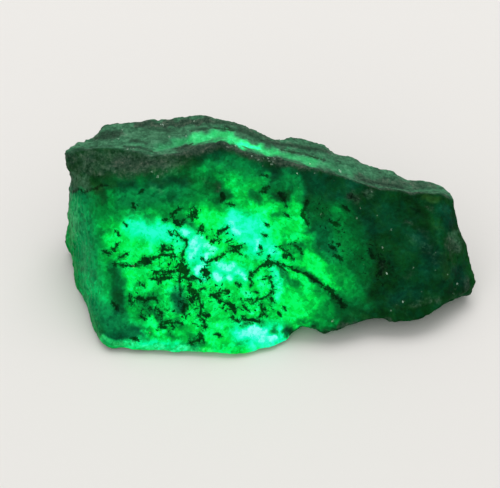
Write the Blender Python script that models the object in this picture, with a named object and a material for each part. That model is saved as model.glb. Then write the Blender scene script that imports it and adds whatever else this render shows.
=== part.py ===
"""A raw emerald crystal: one broken, wedge-shaped block that lies on a flat patch of its underside.

Its long front face leans back at FACE_LEAN and ends at the top in a ridge. Behind the ridge a narrow
shelf steps up to the crest, and the back falls from there to the heel. The block is drawn as two
skins, front and back, stretched over its edges. Cleavage planes, dents and rough layers then work
the skins, and the floor cuts the underside flat. Lengths are in millimetres, with X along the
stone, Y towards its back and Z up, until the last step turns them into metres.
"""

import math

import bmesh
import bpy
import numpy as np
from mathutils import Matrix, Vector, noise

NODE = "emerald_crystal"
METRES_PER_MM = 0.001

# The front face's lean from the vertical, and the direction that it looks in.
FACE_LEAN = math.radians(45)
FACE_NORMAL = np.array([0.0, -math.cos(FACE_LEAN), math.sin(FACE_LEAN)])

# The stone's edges, each from its left end to its right, between the two end edges.
RIDGE = [
    (-27.5, 4.7, 19.7), (-24.7, 4.6, 20.2), (-20.0, 4.2, 20.1), (-16.5, 3.4, 19.7), (-12.6, 3.5, 20.0),
    (-9.8, 4.0, 21.1), (-7.0, 4.4, 21.9), (-4.2, 3.7, 20.8), (0.0, 3.1, 20.0), (5.0, 2.3, 18.9),
    (10.0, 1.9, 17.4), (15.0, 1.5, 15.6), (20.0, 1.8, 14.5), (24.3, 2.2, 13.7),
]
CREST = [
    (-27.6, 6.9, 18.7), (-24.9, 9.4, 18.9), (-20.0, 10.8, 19.7), (-16.5, 11.2, 20.0), (-12.6, 11.1, 20.6),
    (-9.8, 10.7, 21.3), (-7.0, 9.9, 21.6), (-4.2, 9.3, 20.7), (0.0, 8.0, 18.9), (5.0, 8.8, 18.2),
    (10.0, 7.5, 16.4), (15.0, 7.0, 14.2), (20.0, 6.1, 12.9), (24.4, 5.2, 12.2),
]
BACK = [
    (-28.9, 7.8, 11.0), (-27.0, 11.5, 12.0), (-21.5, 14.5, 12.0), (-17.0, 15.6, 12.5), (-12.5, 16.0, 12.0),
    (-9.0, 15.8, 13.0), (-6.0, 15.2, 13.0), (-3.0, 14.5, 12.0), (1.0, 14.0, 11.0), (5.0, 14.2, 10.5),
    (10.0, 13.0, 9.5), (15.0, 12.0, 8.0), (20.0, 10.4, 7.0), (25.0, 7.4, 6.5),
]
HEEL = [
    (-28.9, 7.5, 0.6), (-26.5, 10.5, 0.6), (-21.0, 12.8, 0.7), (-17.0, 13.6, 0.6), (-12.5, 14.4, 0.6),
    (-9.0, 14.8, 0.7), (-6.0, 14.8, 0.8), (-3.0, 14.2, 0.8), (1.0, 13.4, 0.7), (5.0, 13.0, 0.8),
    (10.0, 12.0, 1.0), (15.0, 10.6, 1.2), (20.0, 9.2, 1.4), (25.0, 6.0, 1.6),
]
FOOT = [
    (-27.8, -4.8, 3.0), (-24.4, -14.4, 2.0), (-20.4, -15.9, 1.8), (-16.4, -16.0, 2.1), (-12.6, -15.6, 2.9),
    (-9.0, -15.0, 3.6), (-5.5, -14.8, 3.7), (-2.5, -14.5, 3.5), (0.8, -14.1, 3.4), (3.5, -14.0, 3.0),
    (8.4, -14.1, 2.5), (13.8, -12.9, 3.0), (19.8, -12.8, 2.8), (24.8, -10.4, 3.6),
]
TOE = [
    (-27.7, -5.3, 0.4), (-24.1, -15.2, 0.4), (-20.3, -16.2, 0.5), (-16.3, -16.4, 0.5), (-12.4, -17.0, 0.5),
    (-8.8, -17.3, 0.5), (-5.4, -17.2, 0.5), (-2.4, -16.6, 0.4), (0.8, -15.7, 0.4), (3.5, -12.9, 0.7),
    (8.2, -12.8, 0.9), (13.8, -11.7, 1.6), (19.6, -11.5, 1.6), (24.6, -8.9, 2.0),
]
# The end edges, from the shelf at the top to the underside, with the share of the way round.
LEFT_EDGE = [
    (0.00, (-28.8, 5.4, 18.9)), (0.14, (-29.4, 4.8, 18.9)), (0.40, (-29.4, 4.6, 11.0)),
    (0.78, (-30.5, 3.9, 3.0)), (0.86, (-30.5, 3.3, 0.5)), (1.00, (-27.5, 3.0, -1.6)),
]
RIGHT_EDGE = [
    (0.00, (26.0, 3.4, 12.2)), (0.14, (26.1, 2.4, 12.2)), (0.30, (26.8, 0.3, 9.7)), (0.45, (28.0, -1.1, 7.6)),
    (0.60, (29.0, -2.9, 5.5)), (0.78, (29.7, -5.6, 3.3)), (0.86, (29.2, -6.4, 1.4)),
    (1.00, (26.0, -3.0, -1.6)),
]

# How far the front face stands proud of a flat one, at the lower border of its upper band and at
# its middle, and where that border lies between the ridge and the foot at each station.
BAND_PROUD = [0.9, 0.9, 0.9, 0.8, 0.7, 0.6, 0.6, 0.6, 0.5, 0.5, 0.5, 0.5, 0.5, 0.4]
BELLY_PROUD = 0.9
BAND_SHARE = [0.21, 0.21, 0.20, 0.19, 0.18, 0.18, 0.18, 0.20, 0.22, 0.22, 0.22, 0.22, 0.22, 0.22]
# How far the step behind the ridge is sunk at each station.
SHELF_SUNK = [0.3, 0.5, 0.6, 0.5, 0.8, 1.2, 1.4, 1.3, 1.1, 0.9, 0.6, 0.6, 0.4, 0.2]
KEEL_DEPTH = -1.6
GRID_ALONG, GRID_ROUND = 150, 90

# Cleavage planes that trim the back and the ends: a point on each, and the way it looks.
CLEAVAGES = [
    ((-27.5, 10.2, 10.0), (-0.80, 0.58, 0.12)),
    ((-14.0, 13.6, 18.8), (0.06, 0.72, 0.70)),
    ((8.0, 12.6, 12.6), (0.22, 0.70, 0.68)),
    ((3.0, 14.4, 6.0), (0.16, 0.98, -0.10)),
    ((24.5, 7.2, 7.0), (0.72, 0.66, 0.22)),
]
# Dents and bumps: centre, radius and depth, where a negative depth stands out.
DENTS = [
    ((-1.8, 0.6, 19.0), 5.5, 0.6), ((-26.3, 8.6, 19.2), 2.8, 0.7),
    ((-30.2, 1.2, 0.5), 2.4, 0.8), ((-30.6, 4.6, 3.0), 3.0, -0.4), ((4.6, -13.4, 0.8), 2.6, 0.5),
    ((7.4, -13.8, 1.2), 1.8, -0.4), ((0.6, 8.6, 19.0), 2.2, 0.6), ((3.8, 8.9, 18.4), 2.6, -0.4),
    ((9.6, 7.8, 16.5), 2.2, 0.6), ((19.6, 6.2, 12.9), 2.0, 0.4), ((22.6, 5.8, 12.6), 2.2, -0.3),
    ((-9.0, 16.2, 8.0), 7.5, 1.6), ((14.0, 12.4, 5.5), 6.0, 1.2), ((-20.5, 14.8, 7.0), 5.0, 1.0),
    ((28.6, 1.5, 3.0), 4.0, 0.9),
]

# The rough surface: swells, tilted chips, and layers along the front face that break off in steps
# wherever the surface cuts across them.
SWELL_SIZE, SWELL_HEIGHT = 8.0, 0.30
CHIP_SIZE, CHIP_HEIGHT = 4.2, 0.75
LAYER_NORMAL = np.array([0.19, -0.69, 0.70])
LAYER_THICKNESS, LAYER_STEP = 2.1, 0.55
LAYER_WAVE, LAYER_SHIFT = 0.9, 0.5
TRIANGLES = 8600


def spline(points, count):
    """Points at even steps of a Catmull-Rom curve through the given ones."""
    points = np.array(points, float)
    ends = np.vstack([2 * points[0] - points[1], points, 2 * points[-1] - points[-2]])
    at = np.linspace(0, len(points) - 1, count)
    first = np.minimum(at.astype(int), len(points) - 2)
    t = (at - first)[:, None]
    a, b, c, d = (ends[first + k] for k in range(4))
    return 0.5 * (2 * b + (c - a) * t + (2 * a - 5 * b + 4 * c - d) * t**2 + (3 * b - a - 3 * c + d) * t**3)


def end_edge(edge, shares):
    """Points on an end edge at these shares of the way round."""
    known = [share for share, _ in edge]
    places = np.array([place for _, place in edge])
    return np.stack([np.interp(shares, known, places[:, k]) for k in range(3)], axis=1)


def skin(rows):
    """A grid of points through rows of (share, stations), closed at both ends by the end edges."""
    shares = [share for share, _ in rows]
    lefts, rights = end_edge(LEFT_EDGE, shares), end_edge(RIGHT_EDGE, shares)
    lines = np.array([
        spline([left, *stations, right], GRID_ALONG)
        for left, right, (_, stations) in zip(lefts, rights, rows)
    ])
    steps = np.linspace(0, 1, GRID_ROUND)
    grid = np.stack([
        [np.interp(steps, shares, lines[:, i, k]) for i in range(GRID_ALONG)] for k in range(3)
    ], axis=-1)
    grid[0], grid[-1] = end_edge(LEFT_EDGE, steps), end_edge(RIGHT_EDGE, steps)
    return grid


def between(first, second, share):
    """Stations this share of the way from one line to another."""
    share = np.broadcast_to(share, len(first))[:, None]
    return (1 - share) * np.array(first) + share * np.array(second)


def shelf():
    """The bottom of the step behind the ridge, where the two skins meet at the top."""
    line = between(RIDGE, CREST, 0.34)
    line[:, 2] -= SHELF_SUNK
    return line


def keel():
    """The line under the stone where the two skins meet again, below the floor that cuts it."""
    line = between(TOE, HEEL, 0.5)
    line[:, 2] = KEEL_DEPTH
    return line


def front_skin():
    band = between(RIDGE, FOOT, BAND_SHARE) + np.outer(BAND_PROUD, FACE_NORMAL)
    belly = between(RIDGE, FOOT, 0.55) + BELLY_PROUD * FACE_NORMAL
    return skin([
        (0.00, shelf()), (0.14, RIDGE), (0.26, band), (0.50, belly),
        (0.78, FOOT), (0.86, TOE), (1.00, keel()),
    ])


def back_skin():
    return skin([(0.00, shelf()), (0.16, CREST), (0.50, BACK), (0.86, HEEL), (1.00, keel())])


def sewn_mesh():
    """The front and back skins, joined along their common border."""
    bm = bmesh.new()
    for grid, turned in ((front_skin(), False), (back_skin(), True)):
        points = [[bm.verts.new(place) for place in column] for column in grid]
        for i in range(GRID_ALONG - 1):
            for j in range(GRID_ROUND - 1):
                corners = [points[i][j], points[i][j + 1], points[i + 1][j + 1], points[i + 1][j]]
                bm.faces.new(corners[::-1] if turned else corners)
    bmesh.ops.remove_doubles(bm, verts=bm.verts, dist=0.01)
    bmesh.ops.recalc_face_normals(bm, faces=bm.faces)
    mesh = bpy.data.meshes.new(NODE)
    bm.to_mesh(mesh)
    bm.free()
    return mesh


def places_and_normals(mesh):
    places, normals = np.empty((2, len(mesh.vertices), 3), np.float32)
    mesh.vertices.foreach_get("co", places.ravel())
    mesh.vertices.foreach_get("normal", normals.ravel())
    return places.astype(float), normals.astype(float)


def move_to(mesh, places):
    mesh.vertices.foreach_set("co", places.astype(np.float32).ravel())
    mesh.update()


def cleave(mesh):
    """Flattens what stands beyond each cleavage plane onto it."""
    places, _ = places_and_normals(mesh)
    for point, normal in CLEAVAGES:
        normal = np.array(normal) / np.linalg.norm(normal)
        beyond = np.maximum((places - point) @ normal, 0)
        places -= beyond[:, None] * normal
    move_to(mesh, places)


def dent(mesh):
    """Presses each dent in, along the surface's own normals."""
    places, normals = places_and_normals(mesh)
    moved = places.copy()
    for centre, radius, depth in DENTS:
        near = np.clip(1 - (np.linalg.norm(places - centre, axis=1) / radius) ** 2, 0, 1)
        moved -= (depth * near**2)[:, None] * normals
    move_to(mesh, moved)


def chip_tilt(place):
    """The height of a tilted facet: each cell of a Voronoi pattern slopes its own way."""
    here = Vector(place) / CHIP_SIZE
    centre = noise.voronoi(here)[1][0]
    slope = noise.cell_vector(centre * 5.3) - Vector((0.5, 0.5, 0.5))
    return CHIP_HEIGHT * (here - centre).dot(slope)


def layer_step(place):
    """The height of the layers' broken edges: slow rises that end in steps, shifted from chip to chip."""
    here = Vector(place)
    wave = LAYER_WAVE * noise.noise(here / SWELL_SIZE)
    shift = LAYER_SHIFT * noise.noise(noise.voronoi(here / CHIP_SIZE)[1][0] * 7.1)
    depth = (place @ LAYER_NORMAL) / LAYER_THICKNESS
    depth += wave + shift + 0.5 * noise.noise(Vector((depth * 0.8, 0, 0)))
    rise = depth - math.floor(depth)
    strength = min(1, max(0, 0.6 + 1.4 * noise.noise(here / (1.4 * SWELL_SIZE) + Vector((9, 4, 2)))))
    return LAYER_STEP * strength * (min(rise / 0.75, (1 - rise) / 0.25) - 0.5)


def roughen(mesh):
    places, normals = places_and_normals(mesh)
    heights = np.zeros(len(places))
    for k, (place, normal) in enumerate(zip(places, normals)):
        across = 1 - max(0.0, normal @ LAYER_NORMAL) ** 2
        swell = SWELL_HEIGHT * noise.fractal(Vector(place) / SWELL_SIZE, 1.0, 2.0, 3)
        heights[k] = swell + (0.35 + 0.65 * across) * chip_tilt(place) + across * layer_step(place)
    move_to(mesh, places + heights[:, None] * normals)


def centred(mesh):
    """Moves the stone until the box of what stands above the floor has its centre over the origin."""
    places, _ = places_and_normals(mesh)
    above = places[places[:, 2] > 0, :2]
    middle = (above.min(axis=0) + above.max(axis=0)) / 2
    move_to(mesh, places - [*middle, 0])


def floor_cutter():
    """A block below the floor, which leaves the underside flat where it reached past it."""
    bm = bmesh.new()
    bmesh.ops.create_cube(bm, size=0.2, matrix=Matrix.Translation((0, 0, -0.1)))
    mesh = bpy.data.meshes.new("floor_cut")
    bm.to_mesh(mesh)
    bm.free()
    cutter = bpy.data.objects.new("floor_cut", mesh)
    cutter.hide_render = True
    cutter.display_type = "WIRE"
    bpy.context.scene.collection.objects.link(cutter)
    return cutter


def emerald_material():
    material = bpy.data.materials.new("emerald")
    material.use_nodes = True
    shader = material.node_tree.nodes["Principled BSDF"]
    shader.inputs["Base Color"].default_value = (0.02, 0.22, 0.09, 1)
    shader.inputs["Roughness"].default_value = 0.35
    shader.inputs["Metallic"].default_value = 0
    shader.inputs["IOR"].default_value = 1.58
    return material


def main():
    for obj in list(bpy.data.objects):
        bpy.data.objects.remove(obj)
    mesh = sewn_mesh()
    cleave(mesh)
    dent(mesh)
    roughen(mesh)
    centred(mesh)
    mesh.transform(Matrix.Scale(METRES_PER_MM, 4))
    mesh.materials.append(emerald_material())
    stone = bpy.data.objects.new(NODE, mesh)
    bpy.context.scene.collection.objects.link(stone)
    thin = stone.modifiers.new("thin", "DECIMATE")
    thin.ratio = TRIANGLES / (2 * len(mesh.polygons))
    cut = stone.modifiers.new("rest", "BOOLEAN")
    cut.operation = "DIFFERENCE"
    cut.object = floor_cutter()


main()
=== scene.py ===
"""The looks of the raw emerald crystal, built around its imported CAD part.

One skin replaces the CAD node: a finer copy of its shape, with the grain, chips and layers of broken
stone. Its colours come from fields that are painted over the stone in code. The stone's lengths are in
millimetres until they reach Blender. The photo looks down at it by 45 degrees, and the front face that
it shows has axes of its own: u along the stone, as X runs, and w up the slope.
"""

import math
from functools import partial, reduce

import bpy
import numpy as np
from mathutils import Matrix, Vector, noise


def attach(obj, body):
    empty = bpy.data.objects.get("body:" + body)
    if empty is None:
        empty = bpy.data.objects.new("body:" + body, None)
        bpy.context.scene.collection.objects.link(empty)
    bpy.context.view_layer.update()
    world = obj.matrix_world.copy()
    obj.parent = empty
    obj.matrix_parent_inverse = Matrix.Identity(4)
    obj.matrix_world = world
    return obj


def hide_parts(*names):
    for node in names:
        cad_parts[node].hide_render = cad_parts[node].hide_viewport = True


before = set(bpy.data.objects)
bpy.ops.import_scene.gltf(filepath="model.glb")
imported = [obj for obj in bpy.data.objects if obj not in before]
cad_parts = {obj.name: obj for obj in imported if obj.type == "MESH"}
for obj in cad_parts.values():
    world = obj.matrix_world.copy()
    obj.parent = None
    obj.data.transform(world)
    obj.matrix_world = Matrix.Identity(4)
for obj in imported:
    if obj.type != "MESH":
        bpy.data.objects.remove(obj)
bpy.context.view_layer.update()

NODE = "emerald_crystal"
MM = 0.001
SIN_45 = math.sqrt(0.5)

# The skin's grid, the smoothing that takes the CAD facets off it, how high its flat underside reaches,
# and the share of its triangles that stays once its back and underside are thinned.
VOXEL = 0.22
SMOOTHINGS = 6
UNDERSIDE = 0.12
KEPT = 0.70

# The way through the stone's layers, at right angles to them.
ACROSS_LAYERS = np.array([0.19, -0.69, 0.70])

# How far the broken surface may go in and out.
DEEPEST = -0.5
HIGHEST = 0.28

# The uppermost edge is found in slots of this width along the stone.
TOP_SLOT = 0.5

# Veins and flakes don't show from further off than this. Where the front view doesn't see the stone,
# they all count as this much further off.
FAR = 3

# The camera, as in the photo: its lens, how far off and how high up it is, and what it looks at, in
# metres.
LENS = 128.5
DISTANCE = 0.260
ELEVATION = math.radians(45)
TARGET = Vector((-0.0026, 0.00016, 0.0060))

# The studio, in metres: half the floor's width, the strength and the colour of the plain light, and
# each lamp's place, size, power and colour.
FLOOR = 0.9
DAYLIGHT = 0.62
WHITE = (1.0, 0.995, 0.985)
LAMPS = {
    "overhead": ((0.05, 0.35, 0.75), 0.7, 3.4, WHITE),
    "front": ((-0.45, -0.55, 0.45), 0.6, 0.8, (0.98, 1.0, 1.0)),
}

# The ridge in plan, from the left end to the right: along the stone, and how far back.
RIDGE = [
    (-29.5, 5.4), (-24.4, 5.3), (-20, 4.9), (-16.2, 4.1), (-12.3, 4.2), (-9.5, 4.7), (-6.7, 5.1),
    (-3.9, 4.4), (0.3, 3.8), (5.3, 3), (10.3, 2.6), (15.3, 2.2), (20.3, 2.5), (24.6, 2.9), (28, 3),
]

# The light inside the stone, seen through its front face: 0 is black and 1 white-hot. Each stroke has
# a value, a radius and a softness, and a line of (u, w).
LIGHT = [
    # the broad shape of it
    (0.44, 4, 2, [(-27.5, -2), (-27, 8)]), (0.46, 4.5, 2, [(-23, -4), (-22, 8)]),
    (0.44, 3, 1.5, [(-20, 11), (-10, 12.5), (-4, 14.5)]), (0.62, 5, 3, [(-18, 2), (-10, 0), (0, 0)]),
    (0.74, 3.8, 2.2, [(-17, 4), (-11, 3), (-3, 3)]), (0.7, 3.8, 1.6, [(-12, -5), (-4, -5), (1, -4)]),
    (0.48, 2.8, 2, [(8.6, 9), (9.6, 6), (10.6, 3)]), (0.46, 3, 2, [(8, -4), (11, 0)]),
    (0.32, 1.8, 1.8, [(12.5, 6), (12.3, -1.6)]), (0.2, 2, 2, [(17, 9), (19, 5), (20, 1)]),
    (0.19, 1.4, 1.4, [(24, 9), (25, 4)]), (0.14, 0.7, 0.8, [(13.6, 12), (15, 7), (15.9, 2)]),
    (0.08, 0.8, 0.8, [(20.6, 10), (22.4, 7), (24, 0)]),
    # the foot, where it turns under
    (0.54, 2.4, 0.5, [(-26.5, -10.6), (-20, -12.2)]), (0.7, 2.6, 0.5, [(-18.5, -12), (-14, -12.6)]),
    (0.76, 2.6, 0.8, [(-11.5, -12.6), (-2, -12.2)]), (0.88, 1.6, 0.6, [(-1.5, -11), (2, -10.4)]),
    # the left end
    (0.47, 1.2, 1, [(-26.6, 5.6), (-25.2, 3)]), (0.46, 1.4, 1, [(-27.2, 10.6), (-26.8, 7)]),
    (0.55, 0.9, 0.7, [(-24, 6.6), (-22.2, 7.4)]), (0.56, 1.1, 0.7, [(-23.4, 2.4), (-22.8, 1)]),
    (0.56, 1.1, 0.7, [(-23.8, -1.8), (-23.1, -3.6)]),
    (0.33, 0.8, 0.8, [(-21.8, 0.8), (-21.2, -1.5), (-20.9, -3.6)]),
    (0.27, 0.8, 0.7, [(-21.4, -2.8), (-20.8, -4.8)]), (0.42, 0.9, 0.8, [(-23.2, -6.6), (-21.8, -7)]),
    (0.46, 0.9, 0.6, [(-21.2, -6.4), (-20.2, -7)]), (0.52, 0.7, 0.7, [(-26.2, -0.4), (-25.4, -3)]),
    (0.43, 1.3, 0.8, [(-25.3, -4.4), (-24.2, -7)]),
    # the upper left
    (0.5, 0.7, 0.5, [(-22.3, 11.2), (-22, 9.8)]), (0.47, 0.8, 0.6, [(-19.8, 11), (-18.6, 10.8)]),
    (0.24, 0.6, 0.5, [(-23.8, 12), (-23.6, 10.4)]), (0.35, 0.5, 0.4, [(-14.2, 11.2), (-13.2, 10.6)]),
    (0.58, 0.9, 0.7, [(-16.2, 8.4), (-15.8, 7.8)]), (0.52, 1.2, 0.8, [(-14.4, 9), (-10.6, 9.2)]),
    (0.22, 0.8, 0.6, [(-22.2, 12.6), (-19.4, 12.8)]), (0.22, 0.8, 0.8, [(-16.6, 13.4), (-11.6, 13.4)]),
    (0.38, 0.8, 0.7, [(-25.4, 11.4), (-24.6, 10.2)]), (0.54, 0.7, 0.6, [(-20.4, 8.6), (-18, 8.6)]),
    (0.62, 0.6, 0.5, [(-22.4, 7.3), (-21.6, 6.6)]),
    # the big bright masses
    (0.78, 1.1, 0.8, [(-22, 5), (-20.6, 4.6), (-19.4, 3.4)]),
    (0.84, 1.3, 0.8, [(-19.7, 6.8), (-17.5, 6.6), (-15, 6.2), (-13.4, 6.2)]),
    (0.84, 0.9, 0.6, [(-14.2, 5.4), (-13.2, 4.6), (-12.6, 3.4)]),
    (0.86, 0.8, 0.8, [(-18.9, 7.1), (-17.2, 6.4), (-15.4, 6), (-14.2, 5.8)]),
    (0.86, 0.5, 0.4, [(-17, 4.8), (-16.7, 3.4)]), (0.75, 0.5, 0.3, [(-18.3, 5.2), (-17.6, 4.7)]),
    (0.76, 0.8, 0.6, [(-19, 2.4), (-18.2, 2.8)]), (0.52, 0.5, 0.4, [(-18, 1.9), (-16.2, 1.6)]),
    (0.78, 1, 0.7, [(-19.5, 0.1), (-18.7, -0.8), (-19.1, -1.8)]),
    (0.6, 0.6, 0.4, [(-18.4, -2), (-17.8, -2.6)]), (0.76, 0.9, 0.6, [(-15.4, 2), (-14.4, 1.6)]),
    (0.74, 0.8, 0.6, [(-16.2, 0.9), (-17, -1.6)]), (0.8, 0.9, 0.6, [(-13.9, -0.9), (-14.6, -2)]),
    (0.8, 1.7, 0.9, [(-9.4, 8.2), (-7.2, 7.4)]), (0.8, 0.7, 0.5, [(-6, 4.9), (-5.4, 4.5)]),
    (0.77, 1.2, 0.6, [(-0.4, 7.6), (0.2, 6), (1, 5.4)]), (0.62, 1, 0.6, [(0.8, 9.6), (2.8, 9.4)]),
    (0.58, 0.8, 0.6, [(-0.4, 11.2), (0.2, 10.2)]), (0.72, 1, 0.7, [(-4.8, 9.3), (-2, 9.6), (0.2, 9.3)]),
    (0.72, 0.7, 0.6, [(-7.2, 9), (-5.4, 8.8)]), (0.56, 0.5, 0.5, [(-9.6, 9.9), (-5.8, 9.9)]),
    (0.76, 1.6, 0.8, [(2.2, 6.8), (3.8, 7.2)]), (0.74, 0.7, 0.5, [(3.2, 5.2), (4.6, 5.3), (5.9, 5.5)]),
    (0.72, 0.9, 0.7, [(4.2, 9.2), (3.6, 10.4)]), (0.88, 1.5, 0.8, [(-5, 7.7), (-3.2, 7.2), (-1.8, 6.9)]),
    (0.87, 0.8, 0.6, [(-1.4, 8.3), (-0.6, 8.4)]), (0.87, 1.1, 0.8, [(-3.6, 5.6), (-1.8, 5.2)]),
    (0.84, 0.9, 0.7, [(-0.4, 4.2), (1.2, 3.6)]), (0.9, 0.5, 0.4, [(0.2, 3.3), (1.2, 3)]),
    # white-hot patches
    (0.94, 0.5, 0.4, [(-12, 6.4), (-11.4, 6)]), (0.96, 0.8, 0.6, [(-10.6, 4.6), (-10.4, 3.4), (-11, 2.8)]),
    (0.93, 0.8, 0.5, [(-9.6, 5.2), (-8.8, 4.2), (-7.8, 3.4)]),
    (1.0, 0.5, 0.4, [(-8.9, 2.6), (-9.4, 1.4), (-10.2, 0.4)]),
    (0.96, 0.5, 0.4, [(-9.9, -0.4), (-9.2, -0.7)]), (0.93, 0.5, 0.4, [(-4.9, 6.9), (-4.3, 6.2)]),
    (0.98, 0.4, 0.4, [(-1.7, 4.6), (-1.6, 3.6)]), (0.95, 0.7, 0.5, [(-6.6, 1.6), (-5.6, 1.1), (-4.6, 1.2)]),
    (1.0, 0.5, 0.4, [(-7.2, 0.1), (-6.9, -0.6)]), (1.0, 0.5, 0.4, [(-5.7, -0.2), (-5.2, -0.6)]),
    (1.0, 0.4, 0.3, [(-3.5, 0), (-3.1, -0.3)]), (0.93, 0.5, 0.4, [(-4.4, 0.4), (-3.8, 0.2)]),
    (0.93, 0.6, 0.5, [(-3.4, -2.4), (-3, -2.9)]), (0.86, 0.9, 0.6, [(-1.2, -0.8), (-0.4, -2)]),
    (0.89, 0.6, 0.5, [(0.7, 0.6), (1.3, -0.1)]), (0.9, 0.6, 0.5, [(1.4, -1.6), (1.5, -3.2)]),
    (0.92, 0.4, 0.4, [(-2.2, -5.2), (-1.9, -5)]), (0.5, 0.6, 0.4, [(-3, -7), (-1.6, -6.9)]),
    # up to the ridge
    (0.54, 1.5, 1, [(-8, 14.6), (-5.2, 13.4)]), (0.66, 1.2, 1, [(-4.8, 12.4), (-3.9, 10.8)]),
    (0.52, 0.9, 0.8, [(-2.4, 13.6), (-0.8, 12.8)]), (0.62, 0.8, 0.6, [(-3.2, 12.2), (-1.8, 12.2)]),
    (0.48, 0.8, 0.6, [(-8.2, 14.8), (-6.8, 14.6)]), (0.4, 0.7, 0.5, [(-2.2, 11.2), (-1.4, 10.8)]),
    (0.31, 0.7, 0.6, [(-8.4, 13.2), (-7.4, 12.6), (-6.8, 11.7), (-6.5, 11)]),
    (0.46, 1.2, 0.9, [(2.4, 14), (4, 13.4)]), (0.5, 0.9, 0.6, [(4, 12.2), (4.4, 11.2)]),
    (0.54, 0.6, 0.5, [(-0.2, 14), (-0.2, 12.8)]), (0.44, 0.5, 0.4, [(2.2, 12.8), (2.4, 12.4)]),
    (0.24, 0.7, 0.5, [(1.6, 11.4), (2.2, 10.8)]), (0.4, 0.8, 0.4, [(0.6, 12.2), (1.2, 12.6)]),
    # the right of the glow
    (0.23, 1.6, 1.2, [(6.6, 13), (8.2, 11.2), (11, 12.4)]),
    (0.28, 0.9, 0.8, [(6.8, 10.2), (7.4, 9), (8.2, 7.6)]), (0.34, 0.6, 0.5, [(7.8, 9.3), (9.8, 8)]),
    (0.36, 1, 0.7, [(7.4, 6.4), (8, 4.8), (8.6, 3.4)]), (0.48, 1, 0.9, [(9.6, 4.8), (10.4, 2.2)]),
    (0.46, 0.7, 0.5, [(9.6, 9.2), (10.2, 8.2)]), (0.34, 0.6, 0.5, [(7.6, 7.2), (9.2, 5.8)]),
    (0.42, 1.1, 0.8, [(10.4, 5.4), (11.6, 4.2)]), (0.56, 0.9, 0.6, [(5.6, 4.6), (6, 3.6)]),
    (0.36, 0.8, 0.6, [(7.8, 4.6), (8.8, 3.4)]),
    (0.78, 1.2, 0.5, [(4.6, 2.4), (6.4, 1.6), (8, 0.2), (9.2, -1)]),
    (0.54, 1.1, 0.9, [(9.2, 0.8), (10.4, -0.8), (11, -1.8)]), (0.5, 0.6, 0.5, [(7.6, 2.9), (8.8, 1.8)]),
    (0.46, 0.8, 0.6, [(10.2, 2.2), (10.8, 1)]), (0.6, 0.6, 0.5, [(2.8, 3.9), (4.2, 3.6), (4.4, 2.2)]),
    (0.8, 0.6, 0.4, [(1.8, 2), (2.8, 2.2)]), (0.6, 0.6, 0.4, [(2.8, -2.6), (4.6, -2.5), (6, -3)]),
    (0.46, 0.5, 0.4, [(2, 0.6), (3, -0.8), (4, -2.2)]),
    (0.78, 0.7, 0.4, [(2.4, 1.9), (3.4, 0.5), (4.6, -0.5), (5.6, -1.6), (6.2, -2.6)]),
    (0.56, 0.9, 0.7, [(7, -2.6), (7.4, -3.8)]), (0.66, 0.8, 0.5, [(6, -3.6), (6.4, -5.2)]),
    (0.77, 1.4, 0.6, [(3.2, -3.6), (4.6, -4.6), (2.6, -5.6)]), (0.7, 0.8, 0.5, [(5.6, -4.4), (5.8, -5.6)]),
    (0.5, 0.8, 0.7, [(11.6, -0.6), (12.2, -2.6)]), (0.42, 0.6, 0.7, [(13, -2.6), (13.4, -3.4)]),
    (0.34, 0.7, 0.8, [(12.8, -4.2), (14.6, -4.4)]), (0.5, 1.1, 0.8, [(7.2, -6.2), (8.8, -4.6)]),
    (0.28, 0.9, 0.7, [(9.8, -4), (10.8, -5), (12.4, -5.6)]), (0.46, 0.5, 0.5, [(7.6, -7.2), (10, -6.7)]),
    (0.64, 0.5, 0.5, [(2.8, -7), (5.8, -7.1)]),
    # low down on the left
    (0.58, 0.8, 0.5, [(-19.2, -4), (-18.8, -6.6)]), (0.62, 0.7, 0.5, [(-17.8, -5.2), (-17.4, -6.8)]),
    (0.52, 0.7, 0.6, [(-17.4, -4.6), (-17, -5.6)]), (0.62, 0.5, 0.4, [(-19.4, -3.1), (-19.1, -3.5)]),
    (0.82, 0.7, 0.5, [(-16.6, -6.6), (-16.2, -7.8), (-14.8, -8.2)]),
    (0.64, 0.5, 0.4, [(-15.8, -4.2), (-14.2, -4.4)]), (0.66, 0.5, 0.4, [(-17.8, -7.9), (-17, -8.2)]),
    (0.7, 0.7, 0.5, [(-12.8, -0.6), (-12.4, -1.6)]), (0.34, 0.8, 0.7, [(-12.9, -3), (-12.5, -4.6)]),
    (0.5, 0.6, 0.5, [(-12.8, -6.4), (-12.4, -7.4)]), (0.78, 0.9, 0.5, [(-11.4, -6.4), (-10.4, -7.2)]),
    (0.66, 0.6, 0.4, [(-12.8, -8), (-11.6, -8.4)]), (0.38, 0.8, 0.6, [(-20.4, -7.9), (-18.9, -8.5)]),
    (0.74, 1.2, 0.6, [(-8.4, -4.2), (-7.2, -5.4)]), (0.8, 0.7, 0.5, [(-8.6, -1.5), (-6.6, -1.6)]),
    (0.76, 0.5, 0.4, [(-8.8, -5.8), (-8.6, -6.3)]),
    # the strip along the foot
    (0.58, 0.5, 0.3, [(-23.4, -8.9), (-21.6, -9.3), (-20.2, -9.6)]),
    (0.68, 0.5, 0.4, [(-20.2, -9.6), (-18.6, -9.5)]),
    (0.74, 0.7, 0.5, [(-18.2, -9.4), (-15.4, -9.4), (-12.8, -9.7)]),
    (0.66, 0.4, 0.3, [(-12.2, -10.4), (-10.4, -10.7)]), (0.58, 0.7, 0.5, [(-11.6, -9.4), (-10, -9.2)]),
    (0.8, 1.2, 0.5, [(-8, -8.9), (-5.2, -8.8)]), (0.86, 0.5, 0.4, [(-7.4, -7.2), (-6.4, -7.1)]),
    (0.92, 1.1, 0.6, [(-3.6, -8.4), (-0.2, -9)]), (0.98, 0.7, 0.5, [(-2.2, -7.6), (-0.4, -7.8)]),
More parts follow.
